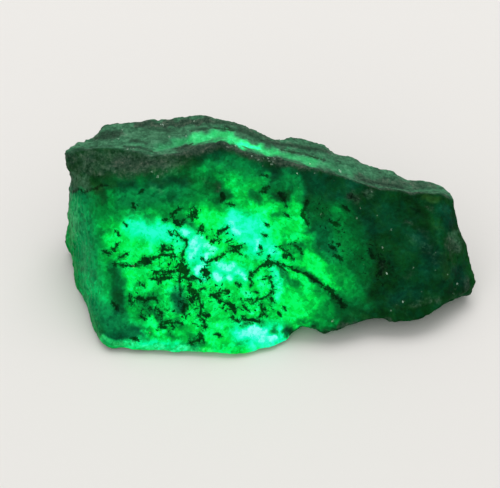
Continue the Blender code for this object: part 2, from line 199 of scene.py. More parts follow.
    (0.97, 0.5, 0.4, [(0.4, -9), (1, -8.8)]), (0.88, 0.5, 0.4, [(1.6, -7.6), (2, -8.6)]),
]

# Where the light is blue-green rather than yellow-green, 0 to 1, in strokes as above.
COOL = [
    (0.9, 2, 1.5, [(-27.5, 11), (-26.5, 5), (-25, -4), (-22, -7)]), (0.6, 1.6, 1.5, [(-20, 11), (-13, 12)]),
    (0.5, 1.4, 1.2, [(-8, 16.4), (-2, 15.4)]), (0.3, 0.9, 0.7, [(-21.6, 0.6), (-20.9, -4)]),
    (0.9, 1.6, 1, [(-19, 7), (-14.4, 5.8)]), (0.8, 1.6, 1, [(-11.6, 5.8), (-10.2, 3), (-9.4, 0.6)]),
    (0.9, 2, 1, [(-5, 7.4), (-2, 6.4), (-1.6, 4.2)]), (0.7, 1, 0.8, [(0.2, 3.6), (1.4, -0.2), (1.6, -3)]),
    (0.7, 1.2, 0.8, [(-7, 0.6), (-3.6, 0.2)]), (0.8, 0.9, 0.7, [(-12.9, -2.2), (-12.7, -4.4)]),
    (0.8, 1.4, 0.8, [(-20.6, -7.6), (-18.8, -8.4)]),
    (0.9, 0.8, 0.6, [(-23, -9.2), (-17, -9.9), (-10.4, -10.6)]),
    (0.9, 1.8, 0.8, [(-3.6, -8.2), (1.2, -8.4)]), (0.6, 1.4, 1, [(7.4, 6), (8.8, 3)]),
    (0.5, 3, 2, [(16, 8), (22, 2), (24, -1)]), (0.2, 1.6, 1.2, [(17, 4.5), (19, 1.5), (20, -1)]),
    (1, 1, 0.8, [(25.4, 9.2), (26, 7.6)]), (0.9, 1.2, 0.9, [(21.6, 5.2), (24, 2.2)]),
    (0.9, 0.9, 0.8, [(27.2, 0.4), (28, -1.2)]), (0.8, 1.4, 1, [(9, 12.4), (12.6, 12.6)]),
    (0.8, 1.2, 1, [(18, -3.5), (21, -3)]), (0.5, 2, 1.5, [(1, 14.5), (10, 12.5)]),
    (0, 1.4, 0.8, [(-9.2, 8.2), (-7.4, 8.2)]), (0, 2, 1, [(3, -3.6), (5.4, -5)]),
    (0, 1.4, 0.8, [(5.4, 2.4), (9.4, -0.4)]),
]

# The black inclusions of the front face: a half-width and a line of (u, w).
VEINS = [
    (0.2, [(-23.2, 3.3), (-22.4, 3)]), (0.32, [(-21.9, 3.6), (-21.3, 4.3)]),
    (0.22, [(-20.8, 2.5), (-20, 3)]), (0.28, [(-21.6, 1.6), (-21, 1.5), (-20.4, 1.4)]),
    (0.3, [(-20, 1.3), (-19.2, 1.2), (-18.2, 1.3)]), (0.58, [(-17.6, 2), (-17, 2)]),
    (0.25, [(-17, 2), (-16, 2.4), (-15.2, 2.9), (-14.5, 2.9), (-13.6, 2.7)]),
    (0.5, [(-15, 3.7), (-14.3, 3.5)]), (0.24, [(-14.2, 3.8), (-13.5, 3.4), (-13.3, 2.6)]),
    (0.2, [(-13, 6.1), (-12.5, 5.4), (-11.7, 4.8), (-11.4, 4.2), (-11.9, 3.5), (-12.1, 2.6), (-12.1, 1.6)]),
    (0.7, [(-12.2, 1.3), (-11.8, 0.5)]), (0.3, [(-12.9, 0.5), (-12.3, 0.8)]),
    (0.08, [(-12.6, 0.2), (-12.5, -1.4), (-12.4, -2.8)]),
    (0.28, [(-15.8, 0.3), (-15, 0.6), (-14, 0.4), (-13.3, 0.5)]),
    (0.28, [(-16.4, -0.6), (-15.5, -0.6), (-14.6, -0.3), (-13.9, -0.4)]),
    (0.26, [(-15.8, -0.2), (-15.6, -0.8)]), (0.34, [(-12, -0.2), (-11.3, -0.5), (-10.6, -0.2)]),
    (0.22, [(-10.6, -0.3), (-9.9, -0.5), (-9.5, -0.9)]), (0.5, [(-11.1, -1.1), (-10.9, -2), (-10.8, -2.6)]),
    (0.3, [(-11, -3.2), (-10.7, -3.8)]), (0.62, [(-8.9, 0.6), (-8.8, 0.1)]),
    (0.18, [(-9.3, 2.3), (-8.8, 1.7), (-8.3, 1.9), (-7.6, 2.3), (-6.4, 2.8)]),
    (0.26, [(-7.2, 2.2), (-6.6, 2.5)]), (0.34, [(-13, 7.4), (-12.6, 7.1)]),
    (0.16, [(-12.4, 7.2), (-11.9, 7.7)]), (0.2, [(-13.6, 8.4), (-13.1, 9.1), (-12.4, 9.3)]),
    (0.3, [(-10.9, 8.9), (-10.7, 8)]), (0.22, [(-11.2, 8.2), (-10.2, 8.8)]),
    (0.24, [(-10.4, 9.4), (-10.1, 8.4)]), (0.15, [(-14.7, 7.9), (-14.4, 7.7)]),
    (0.2, [(-14, 6), (-13.8, 5.7)]), (0.28, [(-9.8, 6.2), (-9.5, 6.8)]), (0.2, [(-9.4, 5.8), (-9.2, 6.3)]),
    (0.12, [(-20.3, 7.2), (-20.1, 7)]), (0.06, [(-21.6, 6.2), (-21, 5.6)]),
    (0.28, [(-19.1, 9.8), (-18.9, 9.5)]), (0.14, [(-18.2, 11.6), (-17.8, 11.9)]),
    (0.3, [(-18.3, -3.4), (-17.4, -3.6)]), (0.28, [(-17, -3.4), (-16.2, -3.2), (-15.8, -3.6)]),
    (0.2, [(-19.6, -3), (-19.3, -4.2)]), (0.18, [(-18.2, -1), (-17.6, -1.6)]),
    (0.4, [(-11.6, -4.2), (-12, -5), (-11.8, -5.6)]), (0.34, [(-11, -3.4), (-10.2, -3)]),
    (0.3, [(-10.2, -2.4), (-9.8, -3.4), (-9.4, -4.6), (-9.7, -5.8), (-9, -6.6), (-8.9, -7.4)]),
    (0.28, [(-14.7, -6.6), (-13.9, -6.4)]), (0.24, [(-13.9, -6.4), (-13.4, -7.3)]),
    (0.26, [(-15.4, -5.1), (-15, -5.8)]), (0.24, [(-12.8, -6.7), (-12.3, -6.9)]),
    (0.3, [(-15.2, -7.4), (-14.4, -7.3)]), (0.2, [(-17.9, -5.9), (-17.5, -6.1)]),
    (0.42, [(-10.8, -9.5), (-9.9, -9.2)]), (0.22, [(-9.5, -8.4), (-9.2, -9.2)]),
    (0.2, [(-19.3, -9), (-18.4, -9.1)]), (0.26, [(-21.9, -4), (-21.3, -4.8)]),
    (0.04, [(-28.2, 11.9), (-27.1, 12.2), (-26.2, 11.7), (-25.2, 12.1), (-24.3, 12.2), (-23.6, 12.7),
            (-22.8, 12.6)]),
    # the middle
    (0.1, [(-6.6, 11.4), (-6.2, 10.8), (-6.5, 10.4)]), (0.16, [(-5.6, 10), (-5.1, 9.9)]),
    (0.42, [(1.7, 11.2), (2.1, 10.9)]), (0.3, [(2.3, 10.4), (2.5, 9.9)]), (0.08, [(-0.6, 12.2), (0, 12.4)]),
    (0.24, [(2.4, 8.6), (2.9, 8.2)]), (0.18, [(-1, 11.7), (-0.5, 11.8)]), (0.1, [(-0.9, 14.1), (-0.3, 14)]),
    (0.24, [(-6.9, 6.1), (-6.3, 6.3), (-5.8, 6.7)]), (0.12, [(-7.1, 5.6), (-6.8, 5.9)]),
    (0.24, [(-8, 4.6), (-7.5, 4.9)]), (0.14, [(-5.8, 4.7), (-5.3, 4.9)]),
    (0.22, [(-5.2, 4.1), (-4.3, 3.9)]), (0.16, [(-4.3, 3.9), (-3.6, 4.3)]),
    (0.22, [(-5.4, 3.4), (-4.6, 3.4), (-4, 3)]), (0.14, [(-1.3, 3.1), (-1, 3.2)]),
    (0.16, [(-0.8, 5.7), (-0.3, 5.5)]), (0.1, [(-1.2, 4), (-1.1, 3.6)]), (0.16, [(-0.4, 7.2), (0, 7)]),
    (0.24, [(-2.3, 0.2), (-1.5, 0.9), (-0.9, 1.4)]), (0.5, [(-0.6, 1.5), (0.1, 1.7)]),
    (0.16, [(-0.2, 1.8), (0, 2.5)]), (0.14, [(-2.5, 0.4), (-2.8, -0.4), (-2.3, -0.9), (-2.5, -1.4)]),
    (0.2, [(0.3, 1.8), (1, 1.6), (1.8, 1.2), (2.4, 0.6)]),
    (0.13, [(1, 1.8), (2, 1.5), (3.2, 1), (4.2, 0.6), (5, 0.2)]),
    (0.22, [(5, 0.2), (6.2, -0.5), (7.2, -1.1), (8.2, -1.8)]),
    (0.42, [(8.2, -1.8), (9, -2.5), (9.8, -3.3), (10.6, -4.2)]), (0.3, [(1.8, 3.7), (2.4, 3.4)]),
    (0.16, [(2.2, 2.8), (2.4, 2.5)]), (0.18, [(3, 2.8), (3.4, 2.2)]), (0.14, [(3.6, 4.2), (3.8, 4)]),
    (0.18, [(4.3, 3.6), (4.7, 3.2)]), (0.24, [(-0.7, -0.6), (0.3, -0.4)]),
    (0.18, [(0.3, -0.9), (0.6, -1.6), (0.7, -2.4)]), (0.15, [(-4.4, -1.2), (-4, -1.5)]),
    (0.16, [(-2, -2.4), (-1.5, -2.5)]), (0.14, [(-9.6, -2), (-9, -2)]),
    (0.24, [(-8, -2.9), (-7.2, -2.6), (-6.4, -2.3)]), (0.26, [(-7.6, -3.1), (-6.8, -3.6)]),
    (0.2, [(-6.4, -2.2), (-5.8, -2.4)]), (0.3, [(-2.9, -3.4), (-2.5, -3.5)]),
    (0.14, [(-2.2, -4), (-1.3, -3.4), (-0.2, -3), (0.2, -2.6)]), (0.3, [(0.3, -3.3), (0.7, -3.7)]),
    (0.5, [(-6, -4), (-5.3, -4.3)]), (0.34, [(-5.3, -4.3), (-4.9, -5.1)]),
    (0.34, [(-1, -4.5), (-0.8, -5.1), (-0.5, -5.6)]), (0.2, [(-1, -5.6), (-1.5, -6)]),
    (0.38, [(-2.3, -6.4), (-1.7, -6.5)]), (0.2, [(-3.4, -4.5), (-2.9, -5)]),
    (0.22, [(-3.6, -6.2), (-3, -6.4)]), (0.24, [(-5, -6.2), (-4.4, -6.5)]),
    (0.12, [(2.2, -4.6), (2.4, -4.9)]), (0.1, [(1.5, -5.4), (1.7, -5.7)]),
    (0.22, [(-8.9, -5.4), (-8.5, -5.6)]), (0.14, [(-7.4, -8.4), (-6.8, -8.6)]),
    # the right
    (0.2, [(5.4, 10.2), (4.8, 8.6), (5.5, 7.2)]), (0.12, [(9.4, 2.8), (10.4, 2.1)]),
    (0.12, [(8.8, 4.1), (9.4, 3.8)]), (0.14, [(9, 7.4), (9.9, 7.1)]), (0.14, [(10.8, 9.6), (11.3, 9.1)]),
    (0.5, [(15.8, 2.2), (16.2, 1), (15.8, 0)]), (0.22, [(14.4, 3.4), (14.8, 2.6)]),
    (0.3, [(11.6, 11.2), (12.4, 10.9)]), (0.2, [(20.6, 9.4), (21.4, 9.1)]),
]

# Clouds of small black specks on the front: how thick they are, a radius, a softness and a line.
SPECKS = [
    (0.2, 6, 4, [(-16, -1), (-8, 0), (0, 0)]), (0.7, 1.2, 0.8, [(-15.4, 0.2), (-13.6, 3.4)]),
    (0.4, 1, 0.8, [(-13.2, 7.8), (-10.8, 8.8)]),
    (0.8, 1, 0.8, [(-12.6, 0.8), (-11.2, -2.6), (-10.6, -5.2), (-9.4, -6.4)]),
    (0.75, 1.4, 0.8, [(-18, -3.2), (-14.4, -6.6), (-12.4, -4.6)]),
    (0.8, 1.2, 0.8, [(-7.6, -2.6), (-5.6, -4.2), (-4.6, -5.6)]),
    (0.5, 1.2, 0.8, [(-7.8, 4.6), (-6, 6.4), (-4.8, 3.8)]),
    (0.5, 1.4, 0.8, [(-2.8, -3.6), (-0.6, -5), (-2.4, -6.4), (-4.6, -6.4)]),
    (0.4, 1.2, 0.8, [(2.4, 3.4), (4.4, 3.6)]), (0.3, 1, 0.8, [(0.4, -0.8), (0.6, -3.6)]),
    (0.34, 1.6, 1, [(6, 9.2), (9.4, 7.6), (10.4, 4), (9.6, 2.2)]), (0.3, 2, 1.2, [(14, 3), (16, 0)]),
    (0.1, 1.4, 0.8, [(-19, 7), (-15, 6)]), (0.05, 1.6, 0.8, [(-4.6, 7.4), (-2, 6.6), (-1.6, 4.4)]),
    (0.05, 1.6, 0.8, [(3.4, -3.6), (5.4, -5.2)]), (0.1, 1.2, 0.6, [(-19.4, -0.2), (-18.6, -1.6)]),
    (0.1, 1.2, 0.6, [(6, 2.4), (9.6, -0.4)]), (0.1, 1.4, 0.6, [(-7, -8.6), (1, -8.4)]),
]

# The brown-grey mica skin along the ridge, on both its sides, in strokes as above.
RIDGE_SKIN = [
    (0.75, 0.5, 0.5, [(-12.6, 17.5), (-11, 17.8), (-9.2, 18.4), (-7, 18.5), (-5, 18.1), (-3, 17.2)]),
    (0.6, 0.4, 0.5, [(-2, 16.8), (1, 16.4), (4, 15.7), (6, 15), (9, 14.4)]),
]

# The mica skin on the front.
SKIN = RIDGE_SKIN + [
    (0.62, 1.2, 1.1, [(-21.5, 16), (-18.5, 15.6), (-15, 15.8)]),
    (0.5, 0.6, 0.9, [(-21, 14.2), (-18.6, 14), (-15.2, 15)]),
    (0.55, 0.8, 0.8, [(-26.4, 16.4), (-24.6, 16.4)]),
    (0.12, 0.9, 0.9, [(-27.4, 13.6), (-25.4, 12.8)]),
    (0.25, 0.6, 0.6, [(-24.2, 15.4), (-23.6, 13.4)]),
    (0.45, 0.5, 0.4, [(-7.4, 13), (-7, 12.2)]),
    (0.5, 0.8, 0.8, [(11.8, 11.2), (12.6, 10.8)]),
    (0.4, 0.7, 0.7, [(13.6, 11.4), (14.6, 12)]),
    (0.36, 0.6, 0.7, [(16, 2), (16.4, 0.4)]),
    (0.46, 0.4, 0.6, [(19.4, 7.4), (20.6, 7.1)]),
    (0.42, 0.4, 0.5, [(22.6, 9.8), (23.4, 9.4)]),
    (0.34, 0.5, 0.7, [(21.4, 6.6), (23, 5)]),
    (0.34, 0.4, 0.6, [(21.8, 3.4), (23.6, 2.4)]),
    (0.3, 0.5, 0.7, [(19.4, -0.2), (20.6, 0.6)]),
    (0.52, 1, 0.8, [(26, 4.6), (27, 3.6)]),
    (0.4, 0.6, 0.8, [(20.5, -4), (24.5, -3.6)]),
    (0.5, 0.6, 0.6, [(28.4, -0.8), (28.6, -2)]),
    (0.22, 0.9, 0.8, [(-25.8, -4.2), (-25, -6.8)]),
    (0.4, 0.2, 0.2, [(4, -7.9), (6, -7.8), (8, -8.3)]),
    (0.6, 0.4, 0.4, [(10, -7.4), (13, -7), (17, -6.4)]),
]

# The border between the wide dark band at the upper left and the face below it, as (u, w).
BAND = [
    (-30, 14.8), (-26.6, 14.6), (-24.6, 13.4), (-22.4, 13.2), (-15.7, 14.2), (-11.5, 15), (-9.8, 16.3),
    (-6, 18),
]

# The mica along the ridge, by u: how far it comes down the front, and how thick it is.
RIM = [
    (-29, 0.3, 0.45), (-16, 0.4, 0.5), (-13, 1, 0.85), (-5, 1, 0.8), (0, 0.8, 0.7), (5, 0.8, 0.75),
    (7, 0.45, 0.7), (28, 0.45, 0.65),
]

# Paler stone at fine breaks, with a painted sheen for the daylight they catch, in strokes as above.
PALE_BREAKS_AND_SHEEN = [
    (0.72, 1.3, 0.8, [(-28.4, 10.6), (-28, 6)]),
    (0.36, 0.8, 0.7, [(-28, 3), (-26.8, -1.4)]),
    (0.5, 0.8, 0.7, [(-26.3, -4), (-25, -7.4)]),
    (0.75, 0.5, 0.4, [(-24.4, -8.6), (-22, -9.5), (-17, -10.1), (-12, -10.7), (-8, -11)]),
    (0.7, 1, 0.6, [(-27.8, 13.8), (-25.8, 13)]),
    (0.5, 0.4, 0.4, [(-9.6, 13.4), (-8.8, 13.1)]),
    (0.4, 0.5, 0.5, [(-16.2, 12.3), (-15.2, 12)]),
    (0.75, 0.9, 0.5, [(26.8, 5.4), (27.2, 3.8)]),
    (0.55, 0.6, 0.5, [(13.8, 11.9), (14.6, 11.2)]),
    (0.3, 0.7, 0.7, [(20.4, 5.2), (21.6, 4.2)]),
    (0.35, 0.6, 0.7, [(23, 4.2), (24, 1.8)]),
    (0.55, 1.6, 1, [(-26, 16.2), (-20, 15.8), (-14, 15.8)]),
    (0.35, 0.8, 0.7, [(21, -3.8), (24, -3.4)]),
]

# Where the stone itself is olive, in strokes as above.
OLIVE = [
    (0.8, 0.6, 0.8, [(22.7, 11.3), (24.4, 10.8)]),
    (0.4, 0.5, 0.8, [(23.6, 6.9), (25, 6.6)]),
    (0.45, 1.2, 0.9, [(25, 2.6), (25.2, 0.4)]),
    (0.5, 1.4, 1, [(-27, 13.2), (-24.4, 12.2)]),
    (0.55, 0.8, 0.7, [(-14, 15.7), (-12.6, 15.3)]),
    (0.4, 1.2, 0.9, [(-18.6, 15.4), (-16.4, 15)]),
    (0.35, 1, 0.8, [(18.4, -4.6), (21, -4.2)]),
]

# Flakes of mica that catch the light, as (u, w, how bright).
FLAKES = [
    (10.2, 14.8, 0.9), (11.6, 13.6, 0.6), (14.7, 11.9, 0.4), (13.1, 9.4, 0.8), (17.5, 6.4, 0.3),
    (16.2, 3.8, 0.4), (16.8, 0.2, 0.9), (20.6, 0.9, 0.3), (27.1, -1.4, 0.5), (26.6, -2.8, 0.3),
    (19.1, -3.8, 1), (17.4, -5.1, 0.3), (4.1, 14.4, 1), (0.9, 16.4, 1), (-0.1, 16.5, 0.7), (-15.4, 21.6, 1),
    (-15.1, 21.5, 0.8), (-21, 20.9, 0.6), (-21.5, 19.5, 0.5), (-23.1, 18.8, 0.9), (-14.2, 19.8, 0.4),
    (-11.8, 19.8, 0.6), (-10.6, 22.1, 0.9), (-20, 17.9, 0.5), (-19.2, 18, 0.4), (-15.7, 17.3, 0.5),
    (-14.3, 17.8, 0.5), (-5.8, 18.1, 0.5), (-4.6, 18.3, 0.8), (0.4, 15.7, 0.4), (6, 15.8, 0.9),
    (10.3, 14.7, 0.8), (-2.3, 16.8, 0.6), (-15.7, 13.9, 0.9), (-16.5, 14.6, 0.4), (-19, 1.2, 0.6),
    (7.4, 8.6, 0.4), (12.6, 8.1, 0.3), (9.1, -6.6, 0.5), (-5.9, 17.7, 0.4), (-1.4, 16.3, 0.4),
    (6.6, 14.4, 0.5),
]

# The light inside the stone, seen through the narrow shelf behind the ridge, in strokes as for LIGHT.
SHELF_LIGHT = [
    (0.22, 1, 0.8, [(-21.5, 18.8), (-18, 18.4), (-14, 18.8)]),
    (0.3, 0.4, 0.4, [(-19.2, 18.8), (-18, 18.5)]),
    (0.24, 0.9, 0.8, [(0.5, 18.2), (4, 17.8), (8, 16.8), (12, 15.6), (15, 14.8)]),
    (0.42, 0.5, 0.5, [(-16.4, 17.8), (-14.4, 18.2), (-12.8, 18.8)]),
    (0.5, 0.8, 0.7, [(-13, 18.8), (-10.2, 19.3)]),
    (0.64, 0.9, 0.7, [(-10.6, 19.5), (-8, 19.9), (-6.5, 20), (-5.4, 19.6)]),
    (0.72, 0.7, 0.5, [(-5.2, 19.3), (-4, 18.8)]),
    (0.9, 0.6, 0.6, [(-4, 18.6), (-2.6, 18.3), (-1.2, 18)]),
    (0.66, 0.5, 0.5, [(-0.6, 17.7), (1, 17.4), (2.5, 17.1)]),
    (0.52, 0.7, 0.6, [(2.6, 17), (5, 16.6), (6.4, 16.1)]),
    (0.52, 0.6, 0.7, [(6, 16.2), (8.6, 15.6)]),
    (0.36, 0.6, 0.6, [(8, 15.4), (10, 15), (12.2, 14.5)]),
]

# The mica skin on the shelf.
SHELF_SKIN = RIDGE_SKIN + [
    (0.85, 0.5, 0.3, [(-19, 21.7), (-16.5, 21.4), (-14, 21.5), (-11, 21.9), (-8.5, 22.2)]),
    (0.6, 0.5, 0.4, [(-8, 22.2), (-5, 21.6), (-3, 20.9), (-1, 19.9), (1, 19.2)]),
    (0.5, 0.4, 0.3, [(1, 18.6), (4, 18.4), (7, 18.2), (8.8, 17.6)]),
    (0.6, 0.6, 0.5, [(12.5, 14.2), (14, 13.6), (17, 13.1), (20, 13.1), (24, 12.6)]),
    (0.5, 0.6, 0.5, [(-24.8, 19.8), (-23, 19.9), (-21.4, 20.2)]),
]

# The dark seams on the shelf, as half-widths and lines.
SHELF_VEINS = [
    (0.16, [(-18.4, 21.5), (-17.4, 21.1), (-15, 20.8), (-13.8, 20.8)]),
    (0.2, [(-24.8, 19.6), (-23, 19.5), (-21.6, 19.9)]),
    (0.14, [(-24.2, 20.3), (-22.4, 20.6), (-21.2, 20.5)]),
    (0.16, [(-6, 21.2), (-3, 20.2), (-1, 19.3), (1.2, 18.7)]),
    (0.16, [(1.2, 18.7), (3, 18.5), (6, 18.2), (8.5, 17.7)]),
    (0.13, [(-13.4, 17.9), (-12, 18.3), (-11, 18.6)]),
    (0.12, [(-20.4, 18.2), (-18.6, 18.1), (-17.2, 17.7), (-15.8, 17.2)]),
    (0.12, [(-19.6, 19.2), (-18.4, 19.1), (-17.5, 18.8)]), (0.3, [(-24, 20), (-22, 20.2)]),
    (0.12, [(-11, 20.6), (-8, 21), (-5, 20.6)]), (0.12, [(2, 17.8), (5, 17.3), (8, 16.4)]),
    (0.14, [(13, 13.6), (15, 13.2), (17.5, 12.9), (19.2, 12.6)]),
]

# How far the uppermost edge goes up at its humps and dips, by u.
TOP = [
    (-29, 0.2), (-27.4, 0.8), (-25.2, 0.2), (-24.2, 0.6), (-22, 0.5), (-18.5, 0), (-16.4, 0.3), (-13, 0),
    (-9, 0.4), (-5, 0.5), (-3, 0.2), (4, 0), (6, 0.4), (14.5, 0.2), (18.5, 0.5), (20, 0.1), (23, -0.2),
    (25.5, 0.4), (27, 0.2),
]


# ---- fields over the stone
def smooth(low, high, x):
    t = np.clip((x - low) / (high - low), 0, 1)
    return t * t * (3 - 2 * t)


def mixed(share, a, b):
    return a * (1 - share) + b * share


def fractal(places, size, octaves, shift):
    """Fractal noise, about -1 to 1, whose largest lumps are this size."""
    offset = Vector((shift, 2 * shift, -shift))
    return np.array([noise.fractal(Vector(p) / size + offset, 0.9, 2.0, octaves) for p in places])


def up_slope(places):
    """w, which is how far up the front face's slope each place is."""
    return (places[:, 1] + places[:, 2]) * SIN_45


def out_of_front(ways):
    """How much each of these directions points out of the front face."""
    return (ways[:, 2] - ways[:, 1]) * SIN_45


def line_distance(at, line):
    """How far each of these points of a plane is from a line through the given points."""
    line = np.array(line, float)
    best = np.full(len(at), np.inf)
    for a, b in zip(line[:-1], line[1:]):
        along = np.clip(((at - a) @ (b - a)) / ((b - a) @ (b - a)), 0, 1)
        best = np.minimum(best, np.linalg.norm(at - a - along[:, None] * (b - a), axis=1))
    return best


def painted(base, strokes, at):
    """Lays brush strokes over an even field, one on the other: (value, radius, softness, line)."""
    field = np.full(len(at), float(base))
    for value, radius, soft, line in strokes:
        field += (value - field) * smooth(radius + soft, radius - soft, line_distance(at, line))
    return field


# ---- the stone's shape
def rows(items, name, kind, width):
    """What Blender keeps under this name for each of a mesh's items, as rows of numbers."""
    values = np.empty(len(items) * width, kind)
    items.foreach_get(name, values)
    return values.reshape(-1, width)


def mesh_data(mesh):
    """The places and the normals of a mesh's vertices, and the pairs that its edges join."""
    places = rows(mesh.vertices, "co", np.float32, 3).astype(float) / MM
    normals = rows(mesh.vertex_normals, "vector", np.float32, 3).astype(float)
    return places, normals, rows(mesh.edges, "vertices", np.int32, 2)


def set_places(mesh, places):
    mesh.vertices.foreach_set("co", (places * MM).astype(np.float32).ravel())
    mesh.update()


def apply_modifiers(thing):
    """Turns what an object's modifiers show into its own mesh."""
    graph = bpy.context.evaluated_depsgraph_get()
    mesh = bpy.data.meshes.new_from_object(thing.evaluated_get(graph))
    thing.modifiers.clear()
    thing.data = mesh


def smoothed(values, edges, passes):
    """Moves the values at each vertex half of the way to its neighbours' mean, time after time."""
    count = np.bincount(edges.ravel(), minlength=len(values))[:, None]
    for _ in range(passes):
        total = np.zeros_like(values)
        np.add.at(total, edges[:, 0], values[edges[:, 1]])
        np.add.at(total, edges[:, 1], values[edges[:, 0]])
        values = values + 0.5 * (total / count - values)
    return values


def broad_normals(normals, edges, passes):
    """The way that the stone faces at each vertex, without its small bumps."""
    broad = smoothed(normals, edges, passes)
    return broad / np.linalg.norm(broad, axis=1)[:, None]


def chips(places, size, shift):
    """Tilted facets: each cell of a cellular pattern leans its own way, about -0.5 to 0.5."""
    heights = np.empty(len(places))
    offset = Vector((shift, shift, shift))
    for i, place in enumerate(places):
        at = Vector(place) / size + offset
        centre = noise.voronoi(at)[1][0]
        lean = noise.cell_vector(centre * 7.1) - Vector((0.5, 0.5, 0.5))
        heights[i] = lean.dot(at - centre)
    return heights


def layers(places, thickness):
    """Saw teeth along the stone's layers, 0 to 1, bent and broken up by noise."""
    along = (places @ ACROSS_LAYERS + 0.9 * fractal(places, size=7.0, octaves=3, shift=4.0)) / thickness
    teeth = along - np.floor(along)
    return teeth * smooth(-0.2, 0.5, fractal(places, size=3.0, octaves=2, shift=9.0))


def top_share(places, reach):
    """1 at the edge that is uppermost from the front, falling to 0 this far below it."""
    u, w = places[:, 0], up_slope(places)
    slots, slot = np.unique(np.round(u / TOP_SLOT), return_inverse=True)
    highest = np.full(len(slots), -np.inf)
    np.maximum.at(highest, slot, w)
    edge = np.interp(u, slots * TOP_SLOT, highest)
    return smooth(-reach, -0.2, w - edge)


def relief(places, broad):
    """How far the chips, lumps, pits and layers of broken stone stand out at each place."""
    back = smooth(0.1, -0.4, out_of_front(broad))
    height = (0.20 + 0.20 * back) * chips(places, size=2.1, shift=0.0)
    height += (0.09 + 0.06 * back) * chips(places, size=1.1, shift=5.0)
    height += 0.35 * back * chips(places, size=3.6, shift=3.0)
    height += 0.05 * fractal(places, size=1.4, octaves=4, shift=1.0)
    height -= 0.18 * smooth(0.30, 0.80, fractal(places, size=1.1, octaves=3, shift=7.0))
    across_layers = 1 - np.abs(broad @ ACROSS_LAYERS)
    height += 0.26 * (layers(places, thickness=1.15) - 0.4) * smooth(0.1, 0.6, across_layers)

    # less of it near the ground and along the thin upper edge at the right
    height *= smooth(0.1, 1.4, places[:, 2])
    height *= 1 - 0.85 * top_share(places, reach=3.0) * smooth(17.5, 19.5, places[:, 0])
    return np.clip(height, DEEPEST, HIGHEST)


def fine_copy():
    """The CAD shape as an object of its own, on a fine grid, with its underside kept flat."""
    skin = bpy.data.objects.new("emerald_stone", bpy.data.meshes.new_from_object(bpy.data.objects[NODE]))
    bpy.context.scene.collection.objects.link(skin)
    grid = skin.modifiers.new("grid", "REMESH")
    grid.mode = "VOXEL"
    grid.voxel_size = VOXEL * MM
    apply_modifiers(skin)
    places, _, edges = mesh_data(skin.data)
    flat = places[:, 2] < UNDERSIDE
    rest = places[flat]
    rest[:, 2] = 0.0
    places = smoothed(places, edges, SMOOTHINGS)
    places[flat] = rest
    set_places(skin.data, places)
    return skin


def thin(skin, facing, height):
    """Thins the grid where the front view doesn't see it, and most of all on the flat underside."""
    weights = np.where(height < 0.01, 1.0, 0.6 * smooth(0.0, -0.3, facing))
    group = skin.vertex_groups.new(name="thin")
    for i, weight in enumerate(weights):
        group.add([i], float(weight), "REPLACE")
    fewer = skin.modifiers.new("fewer", "DECIMATE")
    fewer.ratio = KEPT
    fewer.vertex_group = group.name
    fewer.vertex_group_factor = 1.0
    apply_modifiers(skin)
    skin.vertex_groups.clear()


def shape_skin():
    """The stone's skin: the fine copy, roughened, its uppermost edge moved, and then thinned."""
    skin = fine_copy()
    places, normals, edges = mesh_data(skin.data)
    broad = broad_normals(normals, edges, passes=6)
    places = places + relief(places, broad)[:, None] * broad
    places[:, 2] = np.maximum(places[:, 2], 0.0)
    rise = np.interp(places[:, 0], *np.array(TOP).T) * top_share(places, reach=2.2)
    places += rise[:, None] * np.array([0.0, SIN_45, SIN_45])
    set_places(skin.data, places)
    thin(skin, out_of_front(broad), places[:, 2])

    places, _, _ = mesh_data(skin.data)
    places[:, 2] = np.maximum(places[:, 2], 0.0)
    set_places(skin.data, places)
    skin.data.polygons.foreach_set("use_smooth", np.ones(len(skin.data.polygons), bool))
    return skin


# ---- what is painted on it
class Canvas:
    """What the painted fields have in common, for each vertex of the skin."""

    def __init__(self, mesh):
        self.places, normals, edges = mesh_data(mesh)
        self.u, self.w = self.places[:, 0], up_slope(self.places)
        self.at = np.stack([self.u, self.w], axis=1)
        self.past_ridge = self.places[:, 1] - np.interp(self.u, *np.array(RIDGE).T)
        self.shelf = smooth(-0.35, 0.35, self.past_ridge)

        # 1 where the front view sees the stone, and what keeps veins and flakes off the rest
        self.seen = smooth(-0.10, 0.25, out_of_front(broad_normals(normals, edges, passes=8)))
        self.off_limits = FAR * (1 - smooth(0.0, 0.4, self.seen))

        # places moved about by noise, so that the strokes' edges wander
        sway = np.stack([self.fractal(1.6, 4, shift) for shift in (11.0, 15.0)], axis=1)
        self.wander = self.at + 0.55 * sway
        self.mottle = self.fractal(4.0, 4, 2.0)

    def fractal(self, size, octaves, shift):
        return fractal(self.places, size, octaves, shift)

    def painted(self, base, strokes):
        return painted(base, strokes, self.wander)


def nearest_vein(at, veins):
    """(signed distance across, distance to it, half-width) of the vein whose border is nearest."""
    nearest = np.full((4, len(at)), np.inf)
    for half, line in veins:
        points = np.array(line, float)
        for a, b in zip(points[:-1], points[1:]):
            run = b - a
            length = np.linalg.norm(run)
            share = np.clip(((at - a) @ run) / length**2, 0, 1)
            near = np.linalg.norm(at - a - share[:, None] * run, axis=1)
            side = ((at - a) @ np.array([-run[1], run[0]])) / length
            side = np.where(np.abs(side) < near, np.sign(side) * near, side)
            this = np.stack([near - half, side, near, np.full(len(at), half)])
            closer = this[0] < nearest[0]
            nearest[:, closer] = this[:, closer]
    _, across, near, width = nearest
    return np.clip(across, -FAR, FAR), np.clip(near, 0, FAR), width


def vein_fields(canvas):
    """What nearest_vein says of the front's veins, and behind the ridge of the shelf's."""
    both = zip(nearest_vein(canvas.at, VEINS), nearest_vein(canvas.at, SHELF_VEINS))
    across, near, width = (np.where(canvas.past_ridge > 0, shelf, face) for face, shelf in both)
    return {"across": across, "near": near + canvas.off_limits, "width": width}


